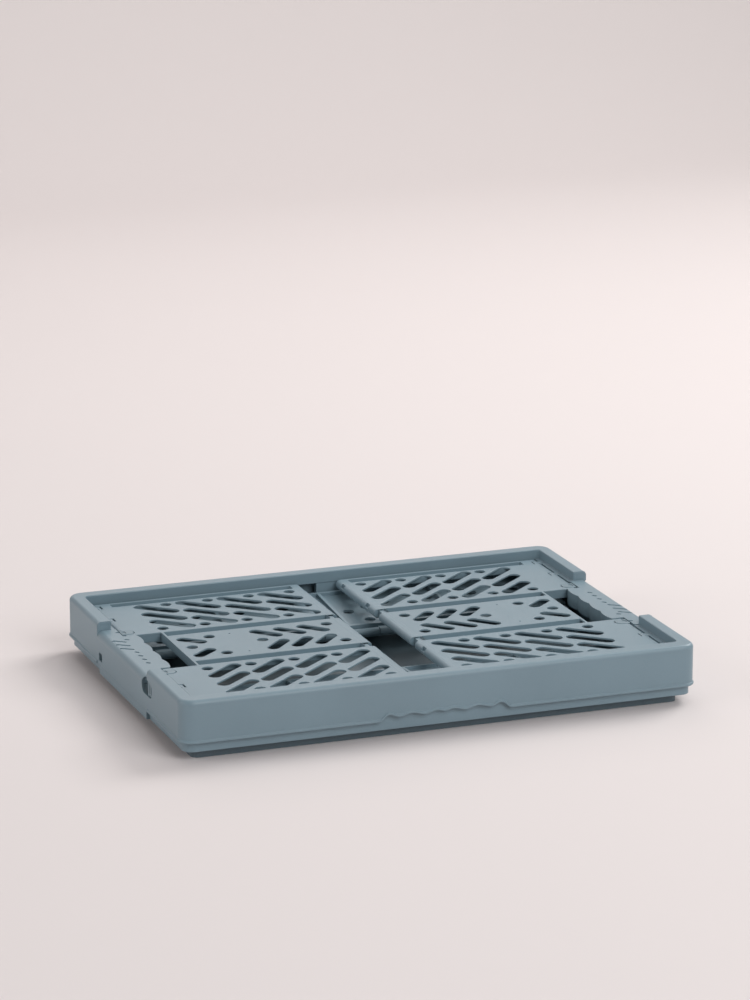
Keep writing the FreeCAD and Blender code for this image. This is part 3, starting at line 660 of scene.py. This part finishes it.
@dataclass
class EndWall(EndPiece):
    """Perforated end wall that lies flat inside the rim, hinged along its outer end."""

    plate: float = 1.7 * MM
    channel_depth: float = 5.0 * MM
    channel_wall: float = 2.0 * MM
    channel_end: float = 189.2 * MM
    inner_channel: tuple[float, float] = (46.0 * MM, 12.4 * MM)
    outer_channel: tuple[float, float] = (147.6 * MM, 9.8 * MM)
    outer_start: float = 14.0 * MM
    reach: float = 200.0 * MM
    plate_end: float = 195.75 * MM
    bar_back: float = 9.0 * MM
    bar_drop: float = 0.04 * MM
    bar_notches: tuple[float, ...] = (-138.0 * MM, -72.0 * MM, 72.0 * MM, 138.0 * MM)
    bar_notch_half: float = 4.0 * MM
    half_gap: float = 6.0 * MM
    gap_end: float = 189.6 * MM
    lug_gap: float = 0.6 * MM
    lug_notch: float = 4.2 * MM
    web: float = 2.2 * MM
    opening_half: float = 52.5 * MM
    opening_depth: float = 32.0 * MM
    slot_angle: float = 41.0
    slot_width: float = 12.2 * MM
    slot_span: float = 33.0 * MM
    short_width: float = 11.2 * MM
    dot: float = 10.4 * MM
    first_column: float = 50.0 * MM
    column_pitch: float = 40.0 * MM
    row_middle: float = 99.5 * MM
    row_pitch: float = 24.5 * MM
    dot_shift: tuple[float, float] = (12.5 * MM, 10.8 * MM)
    middle_dots: tuple[float, float] = (44.5 * MM, 110.5 * MM)
    strip_dots: tuple[tuple[float, float], ...] = ((68.5 * MM, 25.5 * MM), (180.0 * MM, 26.0 * MM))
    short_span: float = 22.0 * MM
    short_out: float = 17.5 * MM
    first_short: float = 119.5 * MM
    short_pitch: float = 22.5 * MM
    knuckle_span: tuple[float, float] = (70.0 * MM, 154.9 * MM)
    edge: float = 0.35 * MM
    low: Vector = field(init=False)
    high: Vector = field(init=False)
    hinge: Vector = field(init=False)

    def __post_init__(self) -> None:
        """Take the panel's place from the left end wall; the right one is the same, turned round."""
        self.low, self.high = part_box("end_wall_left")
        self.hinge = joint_place("left_end_wall_hinge")

    def holes(self) -> list[Slot]:
        """Slots and dots through the plate.

        Returns:
            The holes, placed in the crate's frame for the left wall.
        """
        x0, dot, short = self.hinge.x, self.dot, self.short_width
        rows = [self.row_middle + step * self.row_pitch for step in (-1, 0, 1)]
        along, across = self.dot_shift
        found = [Slot(x0 + x, 0, 0, 0, dot) for x in self.middle_dots]
        for side in (1, -1):
            lean = -side * self.slot_angle
            for column in range(4):
                x = x0 + self.first_column + column * self.column_pitch
                found += [Slot(x, side * y, lean, self.slot_span, self.slot_width) for y in rows]
                found += [Slot(x + sign * along, side * (row + sign * across), 0, 0, dot)
                          for sign, row in ((1, rows[2]), (-1, rows[0]))]
            found += [Slot(x0 + self.first_short + step * self.short_pitch, side * self.short_out,
                           lean * 1.15, self.short_span, short) for step in range(3)]
            found.append(Slot(x0 + self.first_column, side * 19.0 * MM, lean, 18.0 * MM, short))
            found += [Slot(x0 + x, side * y, 0, 0, dot) for x, y in self.strip_dots]
            found.append(Slot(x0 + 88.5 * MM, side * 28.0 * MM, 0, 0, 1.8 * MM, 0.8 * MM))
        return found

    def outline(self) -> list[tuple[float, float]]:
        """Corners of the plate seen from above, with the hand opening, lug notches and cap notches.

        Returns:
            Points round the plate, in the crate's frame, for the left wall.
        """
        x0, e, end = self.hinge.x, self.edge, self.plate_end - self.edge
        far, notch = self.high.y - e, CAP_NOTCH + e
        side = [(self.opening_depth + e, self.opening_half + e), (e, self.opening_half + e),
                (e, CAP_PLACE - notch)]
        for step in range(9):
            turn = math.radians(-90 + 22.5 * step)
            side.append((CAP_REACH + notch * math.cos(turn), CAP_PLACE + notch * math.sin(turn)))
        side.append((e, CAP_PLACE + notch))
        for low, high in LUGS:
            low, high, deep = low - self.lug_gap - e, high + self.lug_gap + e, self.lug_notch + e
            side += [(e, low), (deep, low), (deep, high), (e, high)]
        side += [(e, far), (end, far)]
        centre, half, deep = self.inner_channel[0], self.half_gap + e, self.gap_end - e
        side += [(end, centre + half), (deep, centre + half), (deep, centre - half), (end, centre - half)]
        return [(x0 + u, v) for u, v in side + [(u, -v) for u, v in reversed(side)]]

    def build(self, finish: bpy.types.Material) -> bpy.types.Object:
        """Model the panel as one moulding.

        Args:
            finish: its plastic.

        Returns:
            The finished panel.
        """
        x0, top, bottom = self.hinge.x, self.high.z, self.low.z
        half, tip = self.high.y, self.hinge.x + self.reach
        piece = Moulding(f"panel_{self.side.value}")
        nose = (top - bottom) / 2
        arc = [(tip - nose + nose * math.sin(math.radians(a)),
                top - nose + nose * math.cos(math.radians(a)) - self.bar_drop) for a in range(0, 163, 18)]
        root = tip - self.bar_back
        back = [(tip - nose, bottom), (root, bottom), (root, top - self.bar_drop)]
        near, far = self.inner_channel[0] - self.half_gap, self.inner_channel[0] + self.half_gap
        for start, end in ((-half, -far), (-near, near), (far, half)):
            piece.prism(arc + back, "Y", start, end, 0.5 * MM)
        notches = Moulding("notches")
        for place in self.bar_notches:
            notches.box((tip - 2.6 * MM, place - self.bar_notch_half, top - 4.0 * MM),
                        (tip + MM, place + self.bar_notch_half, top + MM))
        piece.carve(notches)

        channels, bosses = [], []
        starts, end = (self.opening_depth + self.web, self.outer_start), self.channel_end
        for sign in (-1, 1):
            for start, (centre, width) in zip(starts, (self.inner_channel, self.outer_channel)):
                middle = (x0 + (start + end) / 2, sign * centre)
                size = ((end - start) / 2, width / 2)
                channels.append((size, middle, 0.8 * MM, self.channel_depth))
                wall = min(self.channel_wall, half - centre - width / 2 - 0.3 * MM)
                bosses.append(((size[0] + wall, size[1] + wall), middle, 1.2 * MM))
        edges = piece.polygon_loop(self.outline(), top)
        piece.plate(edges, self.holes(), top, self.plate, self.edge, channels, bosses,
                    self.channel_depth + 1.9 * MM - self.plate)
        self.add_webs(piece)
        return self.finished(piece, finish, f"{self.side.value}_end_wall", "end_wall", "wall_plastic")

    def add_webs(self, piece: Moulding) -> None:
        """Add the walls under the plate and the hinge knuckles.

        Args:
            piece: the panel so far.
        """
        x0, top, bottom, half = self.hinge.x, self.high.z, self.low.z, self.high.y
        web, depth, wide = self.web, self.opening_depth, self.opening_half
        gap = self.lug_gap + 0.2 * MM
        first, last = self.knuckle_span
        stops = [first, *(place for low, high in LUGS for place in (low - gap, high + gap)), last]
        for sign in (-1, 1):
            piece.box((x0 + 5.0 * MM, sign * (wide + NEAR), bottom),
                      (x0 + depth, sign * (wide + web), top - 1.2 * MM), 0.4 * MM)
            piece.box((x0 + 12.0 * MM, sign * (half - 2.3 * MM), top - 7.0 * MM),
                      (x0 + self.reach - 6.0 * MM, sign * (half - NEAR), top - 1.2 * MM), 0.4 * MM)
            for start, end in zip(stops[::2], stops[1::2]):
                piece.bar(KNUCKLE, sign * start, sign * end, (x0, 0, self.hinge.z), "Y")
        piece.box((x0 + depth + NEAR, -wide - web, bottom), (x0 + depth + web, wide + web, top - 1.2 * MM),
                  0.4 * MM)
        piece.box((x0 + self.reach - 9.6 * MM, -half + NEAR, bottom + 2.0 * MM),
                  (x0 + self.reach - 5.0 * MM, half - NEAR, top - 1.5 * MM))


@dataclass
class RimFrame:
    """Deep rim of the crate: skirt, rounded top flange, inner lip, handle notches and hinge lugs."""

    wall: float = 2.5 * MM
    bead: float = 1.0 * MM
    corner: float = 13.0 * MM
    fillet: float = 4.0 * MM
    flange_long: float = 16.0 * MM
    flange_end: float = 14.0 * MM
    lip_wall: float = 2.2 * MM
    lip_depth: float = 11.0 * MM
    notch_half: float = 75.0 * MM
    notch_floor: float = 40.0 * MM
    slot: tuple[tuple[float, float], tuple[float, float]] = ((61.0 * MM, 21.0 * MM), (70.0 * MM, 28.5 * MM))
    step_foot: float = 28.8 * MM
    ledge_start: float = 221.6 * MM
    ledge: tuple[float, float] = (44.0 * MM, 46.3 * MM)
    knuckles: int = 16
    knuckle_reach: float = 215.0 * MM
    knuckle_radius: float = 3.5 * MM
    wave: tuple[tuple[float, float], ...] = (
        (0.0, 3.6 * MM), (7.5 * MM, 5.2 * MM), (19.0 * MM, 2.9 * MM), (30.5 * MM, 5.3 * MM),
        (42.5 * MM, 3.0 * MM), (52.0 * MM, 5.8 * MM), (61.5 * MM, 0.0))
    low: Vector = field(init=False)
    high: Vector = field(init=False)

    def __post_init__(self) -> None:
        """Take the rim's box from the CAD."""
        self.low, self.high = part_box("rim_frame")

    def section(self) -> list[tuple[float, float, float, float]]:
        """The rim's cross-section, from the foot of the skirt over the top and back inside.

        Returns:
            For each station of the section: half length, half width, corner radius and height.
        """
        face_x, face_y = self.high.x - self.bead, self.high.y - self.bead
        lip_x, lip_y = self.high.x - self.flange_end, self.high.y - self.flange_long
        foot, top = self.low.z, self.high.z
        out: list[tuple[float, float]] = [(-self.wall + 0.3 * MM, foot), (0.7 * MM, foot),
                                          (self.bead, foot + 0.3 * MM), (self.bead, foot + 1.7 * MM),
                                          (0.0, foot + 2.7 * MM), (0.0, foot + 12.0 * MM),
                                          (0.0, top - self.fillet - 0.5 * MM)]
        for step in range(0, 7):
            turn = math.radians(15 * step)
            out.append((-self.fillet * (1 - math.cos(turn)), top - self.fillet * (1 - math.sin(turn))))
        rings = [(face_x + o, face_y + o, self.corner + o, z) for o, z in out]
        for turn in range(0, 91, 22):
            a = math.radians(min(turn, 90))
            o = 1.2 * MM * (1 - math.sin(a))
            rings.append((lip_x + o, lip_y + o, 4.0 * MM + o, top - 1.2 * MM * (1 - math.cos(a))))
        inner = lip_x, lip_y
        low = top - self.lip_depth
        rings.append((inner[0], inner[1], 4.0 * MM, low + 0.4 * MM))
        for o, z in ((0.4 * MM, low), (self.lip_wall, low), (self.lip_wall, top - self.wall)):
            rings.append((inner[0] + o, inner[1] + o, 4.0 * MM + o, z))
        for z in (top - self.wall - 0.01 * MM, foot + 0.3 * MM):
            rings.append((face_x - self.wall, face_y - self.wall, self.corner - self.wall, z))
        return rings

    def lift(self, x: float) -> float:
        """How far the wavy finger edge raises the foot of a long side.

        Args:
            x: place along the side.

        Returns:
            The rise at x.
        """
        for (start, low), (end, high) in zip(self.wave, self.wave[1:]):
            if abs(x) <= end:
                share = 0.5 - 0.5 * math.cos(math.pi * (abs(x) - start) / (end - start))
                return low + (high - low) * share
        return 0.0

    def build(self, finish: bpy.types.Material) -> bpy.types.Object:
        """Model the rim as one moulding.

        Args:
            finish: its plastic.

        Returns:
            The finished rim.
        """
        piece = Moulding("rim")
        piece.sweep(self.section())
        self.cut_wave(piece)
        bmesh.ops.recalc_face_normals(piece.bm, faces=piece.bm.faces)
        piece.carve(self.cutters())
        self.add_lugs(piece)
        return piece.finish(finish, "rim", ["rim_frame"], "frame_plastic")

    def cut_wave(self, piece: Moulding) -> None:
        """Lift the foot of both long sides into a wavy finger edge.

        Args:
            piece: the rim so far.
        """
        reach, steps = self.wave[-1][0] + MM, 84
        for step in range(steps + 1):
            x = -reach + 2 * reach * step / steps
            sides = [f for f in piece.bm.faces
                     if abs(f.calc_center_median().y) > self.high.y - 5.0 * MM
                     and f.calc_center_median().z < self.high.z - 10.0 * MM]
            geom = list({e for f in sides for e in f.edges} | {v for f in sides for v in f.verts}) + sides
            bmesh.ops.bisect_plane(piece.bm, geom=geom, dist=TINY, plane_co=(x, 0, 0), plane_no=(1, 0, 0))
        for vert in piece.bm.verts:
            if abs(vert.co.y) > self.high.y - 5.0 * MM and vert.co.z < self.low.z + 3.5 * MM:
                vert.co.z += self.lift(vert.co.x)

    def cutters(self) -> Moulding:
        """Everything that is cut out of the rim: handle notches, end beads, plug ports and dark slots."""
        cut = Moulding("cutters")
        face, notch, past = self.high.x - self.bead, self.notch_half, self.high.x + 20.0 * MM
        for end in (-1, 1):
            cut.box((end * 215.0 * MM, -notch, self.notch_floor),
                    (end * past, notch, self.high.z + 10.0 * MM))
            cut.box((end * face, -notch, 0), (end * past, notch, self.notch_floor + MM))
            cut.oval_port(end)
            (near, bottom), (far, top) = self.slot
            cut.box((end * (face - 4.0 * MM), -end * near, bottom), (end * past, -end * far, top))
        return cut

    def add_lugs(self, piece: Moulding) -> None:
        """Add what hangs under the flange: step faces, ledges, hinge knuckles and lugs.

        Args:
            piece: the rim so far.
        """
        lip_x, lip_y = self.high.x - self.flange_end, self.high.y - self.flange_long
        hinge, rim_hinge = joint_place("right_end_wall_hinge"), joint_place("front_rim_hinge")
        below, (ledge_low, ledge_high) = hinge.z - KNUCKLE, self.ledge
        for end in (-1, 1):
            for side in (-1, 1):
                step = side * self.notch_half
                piece.box((end * (lip_x + 0.6 * MM), step + side * NEAR, self.step_foot),
                          (end * (self.high.x - 2.0 * MM), step + side * self.wall, self.high.z - MM))
                piece.box((end * self.ledge_start, step + side * NEAR, ledge_low),
                          (end * (lip_x + MM), side * lip_y, ledge_high), 0.3 * MM)
                for v0, v1 in ((side * low, side * high) for low, high in LUGS):
                    piece.bar(KNUCKLE, v0, v1, (end * hinge.x, 0, hinge.z), "Y")
                    piece.box((end * hinge.x, v0, below), (end * (lip_x + MM), v1, 46.2 * MM), 0.4 * MM)
                    piece.box((end * (hinge.x - 2.9 * MM), v0, ledge_low),
                              (end * (hinge.x + MM), v1, 46.15 * MM), 0.2 * MM)
                piece.box((end * hinge.x, side * (CAP_PLACE - 6.0 * MM), below),
                          (end * (lip_x + 2 * MM), side * (CAP_PLACE + 6.0 * MM),
                           self.notch_floor - 0.5 * MM), 0.3 * MM)
        pitch = 2 * self.knuckle_reach / self.knuckles
        for side in (-1, 1):
            y = side * abs(rim_hinge.y)
            for index in range(0, self.knuckles, 2):
                x0 = -self.knuckle_reach + index * pitch + 0.3 * MM
                x1 = x0 + pitch - 0.6 * MM
                piece.bar(self.knuckle_radius, x0, x1, (0, y, rim_hinge.z), "X")
                piece.box((x0, y - 3.4 * MM, rim_hinge.z),
                          (x1, y + 3.4 * MM, self.high.z - 2.0 * MM), 0.3 * MM)


@dataclass
class Grip(EndPiece):
    """Carry grip that drops into a notch of the rim, with a lobe for each finger and a rolled edge."""

    wall: float = 2.6 * MM
    half: float = 51.0 * MM
    wide: float = 74.8 * MM
    wing_x: float = 221.9 * MM
    roll: float = 6.0 * MM
    lobes: int = 4
    lobe_rise: float = 2.0 * MM
    groove: float = 1.3 * MM
    groove_width: float = 2.8 * MM
    edge: float = 1.1 * MM
    hollow_top: float = 40.0 * MM
    low: Vector = field(init=False)
    high: Vector = field(init=False)

    def __post_init__(self) -> None:
        """Take the grip's box from the left CAD grip; the right one is the same, turned round."""
        self.low, self.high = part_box("handle_grip_left")

    def outline(self) -> list[tuple[float, float]]:
        """Corners of the grip seen from above, on the left.

        Returns:
            Points round the grip.
        """
        outer, inner = self.low.x, self.high.x - self.lobe_rise
        points = [(-self.wing_x, self.half), (-self.wing_x, self.wide), (outer, self.wide),
                  (outer, -self.wide), (-self.wing_x, -self.wide), (-self.wing_x, -self.half)]
        pitch, steps = 2 * self.half / self.lobes, 10
        for lobe in range(self.lobes):
            for step in range(steps):
                share = step / steps
                points.append((inner + self.lobe_rise * math.sin(math.pi * share) ** 0.8,
                               -self.half + pitch * (lobe + share)))
        points.append((inner, self.half))
        return points

    def marks(self) -> list[Slot]:
        """Non-slip grooves: three long slanted ones and two short ones at the back, then dashes."""
        wide = self.groove_width
        found = [Slot(-229.6 * MM, (37.0 - step * 11.8) * MM, -37.0, 11.4 * MM, wide) for step in range(3)]
        found.append(Slot(-221.0 * MM, 62.6 * MM, -20.0, 6.4 * MM, wide))
        found.append(Slot(-221.6 * MM, 40.0 * MM, -37.0, 2.5 * MM, 2.6 * MM))
        found += [Slot(-224.4 * MM, (1.0 - step * 11.2) * MM, -45.0, 2.5 * MM, wide) for step in range(4)]
        return found

    def build(self, finish: bpy.types.Material) -> bpy.types.Object:
        """Model the grip as one hollow moulding.

        Args:
            finish: its plastic.

        Returns:
            The finished grip.
        """
        top = self.high.z
        piece = Moulding(f"grip_{self.side.value}")
        piece.prism(self.outline(), "Z", self.low.z, top)
        outer = [e for e in piece.bm.edges if all(abs(v.co.z - top) < TINY and
                                                  abs(v.co.x - self.low.x) < TINY for v in e.verts)]
        piece.bevelled(outer, self.roll, 8, False)
        rim = [e for e in piece.bm.edges if all(abs(v.co.z - top) < TINY for v in e.verts)
               and len(e.link_faces) == 2 and e.calc_face_angle(0.0) > 1.0
               and max(v.co.x for v in e.verts) > self.low.x + self.roll + 0.1 * MM]
        piece.bevelled(rim, self.edge, 3)
        cut, inner, wall = Moulding("hollow"), self.high.x - 5.0 * MM, self.wall
        outer, foot = self.low.x + wall, self.low.z - 2 * MM
        past = 80.0 * MM
        cut.box((self.low.x - MM, -past, self.low.z - MM), (inner, past, self.hollow_top))
        cut.box((outer, -self.half + wall, foot), (inner, self.half - wall, top - wall))
        cut.box((outer, -self.wide + wall, foot), (-self.wing_x - wall, self.wide - wall, top - wall))
        for mark in self.marks():
            cut.stadium(mark, top - self.groove, top + MM)
        cut.oval_port(-1)
        piece.carve(cut)
        return self.finished(piece, finish, "rim", "handle_grip", "grip_plastic")


@dataclass
class GripPlug(EndPiece):
    """Plug in one half of the oval port at the end of a grip."""

    gap: float = 0.5 * MM
    sunk: float = 0.9 * MM
    grooves: tuple[float, float] = (-84.5 * MM, -80.0 * MM)
    groove_depth: float = 1.3 * MM

    def build(self, finish: bpy.types.Material) -> bpy.types.Object:
        """Model the plug: half an oval with two grooves across it.

        Args:
            finish: its plastic.

        Returns:
            The finished plug.
        """
        low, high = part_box("handle_plug_left")
        middle, radius = (low.z + high.z) / 2, (high.z - low.z) / 2 - self.gap
        front = low.y + self.gap
        arc = [(front + radius - radius * math.sin(math.radians(a)),
                middle + radius * math.cos(math.radians(a))) for a in range(0, 181, 15)]
        piece = Moulding(f"plug_{self.side.value}")
        piece.prism([(high.y, middle + radius)] + arc + [(high.y, middle - radius)], "X", low.x + self.sunk,
                    high.x, 0.35 * MM)
        cut = Moulding("grooves")
        for y in self.grooves:
            cut.box((low.x - MM, y - 0.9 * MM, middle - 4.0 * MM),
                    (low.x + self.groove_depth, y + 0.9 * MM, middle + 4.0 * MM))
        piece.carve(cut)
        return self.finished(piece, finish, "rim", "handle_plug", "trim_plastic")


@dataclass
class HingeCaps(EndPiece):
    """Pair of D-shaped snap caps over the end-wall hinges beside one grip."""

    radius: float = 5.7 * MM
    rod_bore: float = 1.56 * MM
    mark: float = 0.6 * MM
    round_by: float = 0.7 * MM

    def build(self, finish: bpy.types.Material) -> bpy.types.Object:
        """Model both caps of one end.

        Args:
            finish: their plastic.

        Returns:
            The two caps as one piece.
        """
        low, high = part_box("hinge_caps_left")
        hinge = joint_place("left_end_wall_hinge")
        piece, marks = Moulding(f"caps_{self.side.value}"), Moulding("marks")
        back = low.x + NEAR
        for sign in (-1, 1):
            middle, centre = sign * CAP_PLACE, hinge.x + CAP_REACH
            points = [(centre + self.radius * math.cos(math.radians(a)),
                       middle + self.radius * math.sin(math.radians(a))) for a in range(-90, 91, 15)]
            piece.prism([(back, middle - self.radius), *points, (back, middle + self.radius)], "Z",
                        low.z, high.z, self.round_by)
            marks.box((hinge.x - 1.5 * MM, middle - 3 * MM, high.z - self.mark),
                      (hinge.x + 1.5 * MM, middle + 3 * MM, high.z + MM))
        marks.bar(self.rod_bore, -80.0 * MM, 80.0 * MM, (hinge.x, 0, hinge.z), "Y")
        piece.carve(marks)
        return self.finished(piece, finish, "rim", "hinge_caps", "trim_plastic")


# ---------------------------------------------------------------- studio


@dataclass
class Studio:
    """Pale floor that curves up behind the crate, soft light, and the camera."""

    camera_place: tuple[float, float, float] = (-1.20594, -3.23533, 1.09750)
    camera_turn: tuple[float, float, float] = (74.891, 0.0, -20.437)
    lens: float = 144.0
    sweep_radius: float = 0.9
    behind: float = 2.2
    half_width: float = 4.0
    reach: float = 4.5

    def build(self, paper: bpy.types.Material) -> None:
        """Make everything that isn't the crate.

        Args:
            paper: the backdrop's finish.
        """
        self.backdrop(paper)
        self.light("key", (2.3, 0.9, 2.2), 1.6, 64.0, (1.0, 0.985, 0.965))
        self.light("top", (0.3, 0.3, 3.0), 2.4, 12.0, (1.0, 0.985, 0.975))
        self.light("back", (0.3, 1.95, 1.7), 1.7, 9.0, (1.0, 0.95, 0.94))
        self.light("fill", (0.9, -3.2, 2.3), 2.4, 82.0, (0.98, 0.99, 1.0))
        self.light("left", (-3.2, 0.2, 1.3), 1.8, 28.0, (1.0, 0.985, 0.98))
        world = bpy.data.worlds.new("studio_air")
        world.use_nodes = True
        world.node_tree.nodes["Background"].inputs["Color"].default_value = (1.0, 0.97, 0.96, 1.0)
        world.node_tree.nodes["Background"].inputs["Strength"].default_value = 0.24
        bpy.context.scene.world = world
        bpy.context.scene.view_settings.view_transform = "Standard"
        self.camera()

    def backdrop(self, paper: bpy.types.Material) -> None:
        """Make the seamless sweep.

        Args:
            paper: its finish.
        """
        bm = bmesh.new()
        left = -self.half_width
        line = [bm.verts.new((left, -self.reach, 0)), bm.verts.new((left, self.behind, 0))]
        for step in range(1, 17):
            turn = math.radians(90 * step / 16)
            line.append(bm.verts.new((left, self.behind + self.sweep_radius * math.sin(turn),
                                      self.sweep_radius * (1 - math.cos(turn)))))
        line.append(bm.verts.new((left, self.behind + self.sweep_radius, self.reach)))
        edges = [bm.edges.new(pair) for pair in zip(line, line[1:])]
        swept = bmesh.ops.extrude_edge_only(bm, edges=edges)["geom"]
        far = [item for item in swept if isinstance(item, bmesh.types.BMVert)]
        bmesh.ops.translate(bm, vec=(2 * self.half_width, 0, 0), verts=far)
        bmesh.ops.recalc_face_normals(bm, faces=bm.faces)
        mesh = bpy.data.meshes.new("backdrop")
        bm.to_mesh(mesh)
        bm.free()
        mesh.shade_smooth()
        mesh.materials.append(paper)
        linked("backdrop", mesh)

    @staticmethod
    def light(name: str, place: Sequence[float], size: float, power: float,
              colour: Sequence[float]) -> None:
        """Add one soft lamp aimed at the crate.

        Args:
            name: the lamp's name.
            place: where it hangs.
            size: width of its square face.
            power: watts.
            colour: its tint.
        """
        lamp = bpy.data.lights.new(name, "AREA")
        lamp.shape, lamp.size, lamp.energy, lamp.color = "SQUARE", size, power, colour
        made = linked(name, lamp)
        made.location = place
        made.rotation_euler = (Vector((0, 0, 0.03)) - Vector(place)).to_track_quat("-Z", "Y").to_euler()

    def camera(self) -> None:
        """Add the camera, level with its horizon, at the viewing angle."""
        lens = bpy.data.cameras.new("view")
        lens.lens, lens.sensor_width = self.lens, 36.0
        made = linked("view", lens)
        made.location = self.camera_place
        made.rotation_euler = [math.radians(angle) for angle in self.camera_turn]
        bpy.context.scene.camera = made


@dataclass
class Crate:
    """The whole crate: new pieces over the CAD nodes, and finishes for the CAD nodes that are kept."""

    body_plastic: MouldedPlastic = MouldedPlastic("moulded_body")
    # The base's plastic carries painted shade on its lower part.
    base_plastic: MouldedPlastic = MouldedPlastic("moulded_base", painted_shade_share=0.55)
    wall_plastic: MouldedPlastic = MouldedPlastic("moulded_panel", wear=0.25)
    grip_plastic: MouldedPlastic = MouldedPlastic("moulded_grip", roughness=0.36, wear=0.5,
                                                  flow_axis=(14.0, 3.0, 14.0))
    trim_plastic: MouldedPlastic = MouldedPlastic("moulded_trim", colour=(0.16, 0.23, 0.27))
    steel: DrawnSteel = DrawnSteel("hinge_steel")

    def build(self) -> None:
        """Build every sub-assembly in order."""
        body, wall = self.body_plastic.build(), self.wall_plastic.build()
        grip, trim, steel = self.grip_plastic.build(), self.trim_plastic.build(), self.steel.build()
        RimFrame().build(body)
        for side in (Side.LEFT, Side.RIGHT):
            EndWall(side).build(wall)
            Grip(side).build(grip)
            GripPlug(side).build(trim)
            HingeCaps(side).build(trim)
        self.dress({"base_tray": self.base_plastic.build(), "_wall_": wall, "_rod": steel})

    @staticmethod
    def dress(finishes: dict[str, bpy.types.Material]) -> None:
        """Give the CAD nodes that stay their finish.

        Args:
            finishes: part of a node's name to its material; the first match counts.
        """
        for name, node in frame["nodes"].items():
            chosen = next((made for part, made in finishes.items() if part in name), None)
            if chosen is None:
                continue
            node.data.materials.clear()
            node.data.materials.append(chosen)
            log.info("%s: kept, finished in %s", name, chosen.name)


def main() -> None:
    """Build the crate and its studio."""
    logging.basicConfig(level=logging.INFO, format="%(name)s: %(message)s")
    Studio().build(StudioPaper("seamless_paper").build())
    Crate().build()


if __name__ == "__main__":
    main()
